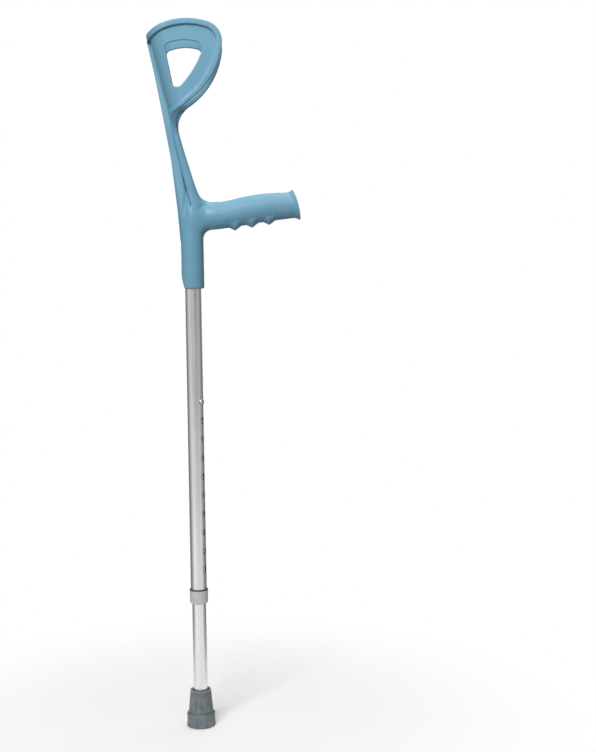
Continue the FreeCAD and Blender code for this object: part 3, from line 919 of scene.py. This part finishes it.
def coordinates(nodes, links, scale=(1, 1, 1)):
    place = nodes.new("ShaderNodeTexCoord")
    mapping = nodes.new("ShaderNodeMapping")
    mapping.inputs["Scale"].default_value = scale
    links.new(place.outputs["Object"], mapping.inputs["Vector"])
    return mapping.outputs["Vector"]


def noise(nodes, links, vector, scale, detail=3.0, rough=0.5):
    made = nodes.new("ShaderNodeTexNoise")
    made.inputs["Scale"].default_value = scale
    made.inputs["Detail"].default_value = detail
    made.inputs["Roughness"].default_value = rough
    links.new(vector, made.inputs["Vector"])
    return made.outputs["Fac"]


def spread(nodes, links, value, low, high, to_low, to_high, kind="LINEAR"):
    made = nodes.new("ShaderNodeMapRange")
    made.interpolation_type = kind
    for socket, number in zip(("From Min", "From Max", "To Min", "To Max"), (low, high, to_low, to_high)):
        made.inputs[socket].default_value = number
    links.new(value, made.inputs["Value"])
    return made.outputs["Result"]


def blend_colours(nodes, links, factor, first, second):
    """From the first, which is a colour or another node's output, to the second colour."""
    made = nodes.new("ShaderNodeMix")
    made.data_type = "RGBA"
    if isinstance(first, tuple):
        made.inputs["A"].default_value = (*first, 1)
    else:
        links.new(first, made.inputs["A"])
    made.inputs["B"].default_value = (*second, 1)
    links.new(factor, made.inputs["Factor"])
    return made.outputs["Result"]


def axes(nodes, links, vector):
    """The vector's X, Y and Z."""
    made = nodes.new("ShaderNodeSeparateXYZ")
    links.new(vector, made.inputs["Vector"])
    return made.outputs


def length(nodes, links, vector):
    made = nodes.new("ShaderNodeVectorMath")
    made.operation = "LENGTH"
    links.new(vector, made.inputs[0])
    return made.outputs["Value"]


def bump(nodes, links, height, strength, distance, shader, before=None):
    made = nodes.new("ShaderNodeBump")
    made.inputs["Strength"].default_value = strength
    made.inputs["Distance"].default_value = distance
    links.new(height, made.inputs["Height"])
    if before:
        links.new(before.outputs["Normal"], made.inputs["Normal"])
    links.new(made.outputs["Normal"], shader.inputs["Normal"])
    return made


def calculate(nodes, links, operation, first, second):
    made = nodes.new("ShaderNodeMath")
    made.operation = operation
    for socket, value in zip(made.inputs, (first, second)):
        if isinstance(value, (int, float)):
            socket.default_value = value
        else:
            links.new(value, socket)
    return made.outputs["Value"]


def product(nodes, links, *values):
    result = values[0]
    for value in values[1:]:
        result = calculate(nodes, links, "MULTIPLY", result, value)
    return result


def moulding_plastic():
    """Satin blue polypropylene: a painted highlight, paler, down the upper spine, and with leather grain
    on the grip.
    """
    made, nodes, links, shader = material("moulding_plastic", (0.175, 0.405, 0.555), 0.36)
    vector = coordinates(nodes, links)
    at = axes(nodes, links, vector)
    cloud = noise(nodes, links, vector, 22.0, 4.0)
    tint = spread(nodes, links, cloud, 0.3, 0.7, 0, 1)
    colour = blend_colours(nodes, links, tint, (0.168, 0.392, 0.540), (0.182, 0.418, 0.570))
    # Painted highlight: the upper spine, behind the sink line, is painted paler, standing in for the
    # light it catches.
    behind = calculate(nodes, links, "ADD", at["X"], product(nodes, links, at["Z"], 0.272))
    spine_highlight_paint = product(
        nodes, links,
        spread(nodes, links, behind, 0.1992, 0.1978, 0, 1),
        spread(nodes, links, at["Z"], 0.80, 0.86, 0, 1),
        spread(nodes, links, cloud, 0.35, 0.65, 0.7, 1),
    )
    colour = blend_colours(nodes, links, spine_highlight_paint, colour, (0.235, 0.465, 0.595))
    links.new(colour, shader.inputs["Base Color"])
    gripped = product(
        nodes, links,
        spread(nodes, links, at["X"], 0.022, 0.034, 0, 1),
        spread(nodes, links, at["Z"], 0.752, 0.740, 0, 1),
        spread(nodes, links, at["X"], 0.140, 0.137, 0, 1),
    )
    grain = nodes.new("ShaderNodeTexVoronoi")
    grain.feature = "SMOOTH_F1"
    grain.inputs["Scale"].default_value = 750.0
    grain.inputs["Smoothness"].default_value = 0.6
    links.new(vector, grain.inputs["Vector"])
    grain_height = product(nodes, links, grain.outputs["Distance"], gripped)
    rough = spread(nodes, links, cloud, 0.3, 0.7, 0.33, 0.40)
    rough = calculate(nodes, links, "ADD", rough, product(nodes, links, gripped, 0.10))
    links.new(rough, shader.inputs["Roughness"])
    peel = noise(nodes, links, vector, 600.0, 2.0)
    first = bump(nodes, links, peel, 0.05, 0.0004, shader)
    bump(nodes, links, grain_height, 0.55, 0.0006, shader, first)
    return made


def drawn_aluminium(name, dark, light, bore=None):
    """Drawn tube: long fine lines along it, slow changes of tone, and, when a bore radius is given,
    painted shade, near black, on its bore's wall and its holes' walls.
    """
    made, nodes, links, shader = material(name, dark, 0.3, 1.0)
    lines = noise(nodes, links, coordinates(nodes, links, (900, 900, 6)), 1.0, 3.0)
    cloud = noise(nodes, links, coordinates(nodes, links, (30, 30, 9)), 1.0, 3.0)
    tint = spread(nodes, links, cloud, 0.35, 0.65, 0, 1)
    colour = blend_colours(nodes, links, tint, dark, light)
    if bore is not None:
        # Painted shade: everything inside the bore's radius, the inner wall and the holes' walls, is
        # painted near black for the shade inside the tube.
        from_axis = length(nodes, links, coordinates(nodes, links, (1, 1, 0)))
        bore_shade_paint = spread(nodes, links, from_axis, bore, bore - 0.3 * MM, 0, 1)
        colour = blend_colours(nodes, links, bore_shade_paint, colour, (0.02, 0.02, 0.022))
    links.new(colour, shader.inputs["Base Color"])
    links.new(spread(nodes, links, lines, 0.3, 0.7, 0.24, 0.34), shader.inputs["Roughness"])
    bump(nodes, links, lines, 0.08, 0.0002, shader)
    return made


def collar_plastic():
    """Pale translucent nylon, with painted shade, near black, round the top of its lip, where the gap
    round the tube lies in shadow.
    """
    made, nodes, links, shader = material("collar_plastic", (0.55, 0.55, 0.56), 0.34)
    shader.inputs["Subsurface Weight"].default_value = 0.12
    shader.inputs["Subsurface Radius"].default_value = (0.002, 0.002, 0.002)
    vector = coordinates(nodes, links)
    cloud = noise(nodes, links, vector, 120.0, 3.0)
    tint = spread(nodes, links, cloud, 0.3, 0.7, 0, 1)
    collar_tone = blend_colours(nodes, links, tint, (0.60, 0.60, 0.615), (0.67, 0.67, 0.68))
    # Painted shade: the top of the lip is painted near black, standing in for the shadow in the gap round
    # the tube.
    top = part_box("anti_rattle_collar")[1].z
    lip_shade_paint = spread(nodes, links, axes(nodes, links, vector)["Z"], top - 1.9 * MM, top - 1.5 * MM, 0, 1)
    colour = blend_colours(nodes, links, lip_shade_paint, collar_tone, (0.045, 0.045, 0.05))
    links.new(colour, shader.inputs["Base Color"])
    links.new(spread(nodes, links, cloud, 0.3, 0.7, 0.30, 0.40), shader.inputs["Roughness"])
    bump(nodes, links, noise(nodes, links, vector, 700.0, 2.0), 0.05, 0.0003, shader)
    return made


def ferrule_rubber():
    """Mottled grey rubber with pale wear streaks down it, and a painted highlight, paler, round the top
    of its mouth.
    """
    made, nodes, links, shader = material("ferrule_rubber", (0.13, 0.155, 0.17), 0.55)
    vector = coordinates(nodes, links)
    cloud = noise(nodes, links, vector, 90.0, 5.0, 0.6)
    tint = spread(nodes, links, cloud, 0.3, 0.7, 0, 1)
    colour = blend_colours(nodes, links, tint, (0.100, 0.124, 0.138), (0.195, 0.228, 0.243))
    streaks = noise(nodes, links, coordinates(nodes, links, (260, 260, 40)), 1.0, 3.0)
    worn = spread(nodes, links, streaks, 0.48, 0.68, 0, 0.7)
    colour = blend_colours(nodes, links, worn, colour, (0.235, 0.265, 0.28))
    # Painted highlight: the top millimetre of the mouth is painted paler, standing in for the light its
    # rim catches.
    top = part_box("ferrule")[1].z
    mouth_highlight_paint = spread(nodes, links, axes(nodes, links, vector)["Z"], top - 1.0 * MM, top - 0.2 * MM, 0, 0.8)
    colour = blend_colours(nodes, links, mouth_highlight_paint, colour, (0.34, 0.38, 0.40))
    links.new(colour, shader.inputs["Base Color"])
    links.new(spread(nodes, links, cloud, 0.3, 0.7, 0.46, 0.62), shader.inputs["Roughness"])
    first = bump(nodes, links, noise(nodes, links, vector, 1500.0, 2.0), 0.12, 0.0003, shader)
    second = bump(nodes, links, cloud, 0.20, 0.0010, shader, first)
    bump(nodes, links, streaks, 0.15, 0.0006, shader, second)
    return made


def plain_metal(name, dark, light, low_rough, high_rough):
    made, nodes, links, shader = material(name, dark, low_rough, 1.0)
    cloud = noise(nodes, links, coordinates(nodes, links), 700.0, 3.0)
    tint = spread(nodes, links, cloud, 0.3, 0.7, 0, 1)
    links.new(blend_colours(nodes, links, tint, dark, light), shader.inputs["Base Color"])
    links.new(spread(nodes, links, cloud, 0.3, 0.7, low_rough, high_rough), shader.inputs["Roughness"])
    return made


def guide_plastic():
    made, nodes, links, shader = material("guide_plastic", (0.7, 0.7, 0.68), 0.45)
    cloud = noise(nodes, links, coordinates(nodes, links), 200.0, 3.0)
    tint = spread(nodes, links, cloud, 0.3, 0.7, 0, 1)
    colour = blend_colours(nodes, links, tint, (0.66, 0.66, 0.64), (0.74, 0.74, 0.72))
    links.new(colour, shader.inputs["Base Color"])
    return made


# Inside this radius the upper tube is painted near black as painted shade.
UPPER_BORE = 10.85 * MM
FINISHES = {
    "moulding_plastic": moulding_plastic(),
    "upper_aluminium": drawn_aluminium(
        "upper_aluminium", (0.78, 0.785, 0.795), (0.85, 0.855, 0.865), UPPER_BORE
    ),
    "lower_aluminium": drawn_aluminium("lower_aluminium", (0.86, 0.86, 0.87), (0.92, 0.92, 0.93)),
    "rivet_aluminium": plain_metal("rivet_aluminium", (0.62, 0.62, 0.63), (0.70, 0.70, 0.71), 0.30, 0.42),
    "collar_plastic": collar_plastic(),
    "guide_plastic": guide_plastic(),
    "spring_steel": plain_metal("spring_steel", (0.36, 0.36, 0.38), (0.46, 0.46, 0.48), 0.28, 0.40),
    "button_steel": plain_metal("button_steel", (0.60, 0.60, 0.61), (0.66, 0.66, 0.67), 0.12, 0.20),
    "ferrule_rubber": ferrule_rubber(),
}
for slot, pieces in PIECES.items():
    for piece in pieces:
        piece.data.materials.clear()
        piece.data.materials.append(FINISHES[slot])
for subpart in frame["record"]["subparts"]:
    node = frame["nodes"][subpart["node"]]
    for slot in node.material_slots:
        slot.material = FINISHES[subpart["material_slot"]]

# =====================================================================
# Floor, light and camera
# =====================================================================


FLOOR_RADIUS = 2.4
FLOOR_SIDES = 96
FLOOR_FADE = (0.10, 0.55)
FLOOR_EMISSION = 0.20


def make_floor():
    """A pale round floor that fades into the white beyond."""
    mesh = bpy.data.meshes.new("floor")
    angles = [2 * math.pi * k / FLOOR_SIDES for k in range(FLOOR_SIDES)]
    rim = [(FLOOR_RADIUS * math.cos(a), FLOOR_RADIUS * math.sin(a), 0.0) for a in angles]
    mesh.from_pydata(rim, [], [tuple(range(FLOOR_SIDES))])
    mesh.validate()
    floor = link("floor", mesh)
    made, nodes, links, shader = material("floor_paper", (0.90, 0.90, 0.90), 0.9)
    from_middle = length(nodes, links, coordinates(nodes, links))
    links.new(spread(nodes, links, from_middle, *FLOOR_FADE, 1, 0, "SMOOTHSTEP"), shader.inputs["Alpha"])
    shader.inputs["Emission Color"].default_value = (1, 1, 1, 1)
    shader.inputs["Emission Strength"].default_value = FLOOR_EMISSION
    mesh.materials.append(made)


# The room's even glow, then its soft lights: towards, how narrow, how strong
ROOM_BASE = 0.16
ROOM_LOBES = [
    ((0.0, 1.0, 0.05), 8.0, 1.00),
    ((-0.95, -0.32, 0.05), 7.0, 0.50),
    ((0.96, -0.28, 0.05), 9.0, 0.32),
    ((-0.35, -0.93, 0.10), 12.0, 0.16),
    ((0.0, 0.2, 0.98), 3.0, 0.20),
]
FLOOR_GLOW = 0.85


def make_world():
    """White to the camera. The rest sees a dim room; gloss also sees its soft lights and bright floor."""
    world = bpy.data.worlds.new("studio")
    bpy.context.scene.world = world
    world.use_nodes = True
    nodes, links = world.node_tree.nodes, world.node_tree.links
    direction = nodes.new("ShaderNodeTexCoord").outputs["Generated"]
    path = nodes.new("ShaderNodeLightPath")
    glow = 0.0
    for towards, narrow, strength in ROOM_LOBES:
        facing = nodes.new("ShaderNodeVectorMath")
        facing.operation = "DOT_PRODUCT"
        links.new(direction, facing.inputs[0])
        facing.inputs[1].default_value = Vector(towards).normalized()
        towards_it = calculate(nodes, links, "MAXIMUM", facing.outputs["Value"], 0.0)
        lobe = calculate(nodes, links, "POWER", towards_it, narrow)
        glow = calculate(nodes, links, "ADD", glow, product(nodes, links, lobe, strength))
    at = axes(nodes, links, direction)
    floor = product(
        nodes, links,
        spread(nodes, links, at["Z"], -0.10, -0.22, 0, 1),
        spread(nodes, links, at["Z"], -0.62, -0.45, 0, 1),
        spread(nodes, links, at["Y"], -0.2, -0.6, 0, 1),
        FLOOR_GLOW,
    )
    glow = calculate(nodes, links, "ADD", glow, floor)
    glow = product(nodes, links, glow, path.outputs["Is Glossy Ray"])
    glow = calculate(nodes, links, "ADD", glow, ROOM_BASE)
    seen = nodes["Background"]
    seen.inputs["Color"].default_value = (1, 1, 1, 1)
    seen.inputs["Strength"].default_value = 1.0
    room = nodes.new("ShaderNodeBackground")
    room.inputs["Color"].default_value = (1, 1, 1, 1)
    links.new(glow, room.inputs["Strength"])
    choose = nodes.new("ShaderNodeMixShader")
    links.new(path.outputs["Is Camera Ray"], choose.inputs["Fac"])
    links.new(room.outputs["Background"], choose.inputs[1])
    links.new(seen.outputs["Background"], choose.inputs[2])
    links.new(choose.outputs["Shader"], nodes["World Output"].inputs["Surface"])


def area_light(name, place, target, size, power):
    light = bpy.data.lights.new(name, "AREA")
    light.shape = "RECTANGLE"
    light.size, light.size_y = size
    light.energy = power
    lamp = bpy.data.objects.new(name, light)
    bpy.context.scene.collection.objects.link(lamp)
    lamp.location = place
    lamp.rotation_euler = (Vector(target) - Vector(place)).to_track_quat("-Z", "Y").to_euler()


make_floor()
make_world()
area_light("key", (-0.9, -2.3, 2.3), (0, 0, 0.7), (1.3, 1.3), 66)
area_light("top", (0.3, 0.4, 2.4), (0, 0, 0.6), (1.2, 1.2), 14)
area_light("fill", (0.25, -0.6, 1.70), (0, 0, 0.9), (0.7, 0.5), 1.8)
bpy.context.scene.view_settings.view_transform = "Standard"

CAMERA_PLACE = (0.043, -1.80, 0.640)
CAMERA_YAW = math.radians(3.15)
CAMERA_PITCH = math.radians(1.94)
CAMERA_ROLL = math.radians(0.94)
CAMERA_LENS = 63.4
CAMERA_SHIFT = (0.0, -0.10)


def make_camera():
    """Level with the handgrip, a little to the right of the object, and rolled about a degree."""
    lens = bpy.data.cameras.new("camera")
    lens.lens = CAMERA_LENS
    lens.sensor_width = 36.0
    lens.shift_x, lens.shift_y = CAMERA_SHIFT
    camera = bpy.data.objects.new("camera", lens)
    bpy.context.scene.collection.objects.link(camera)
    camera.location = CAMERA_PLACE
    forward = Vector((math.tan(CAMERA_YAW), 1.0, -math.tan(CAMERA_PITCH)))
    turn = forward.to_track_quat("-Z", "Y").to_matrix() @ Matrix.Rotation(-CAMERA_ROLL, 3, "Z")
    camera.rotation_euler = turn.to_euler()
    bpy.context.scene.camera = camera


make_camera()
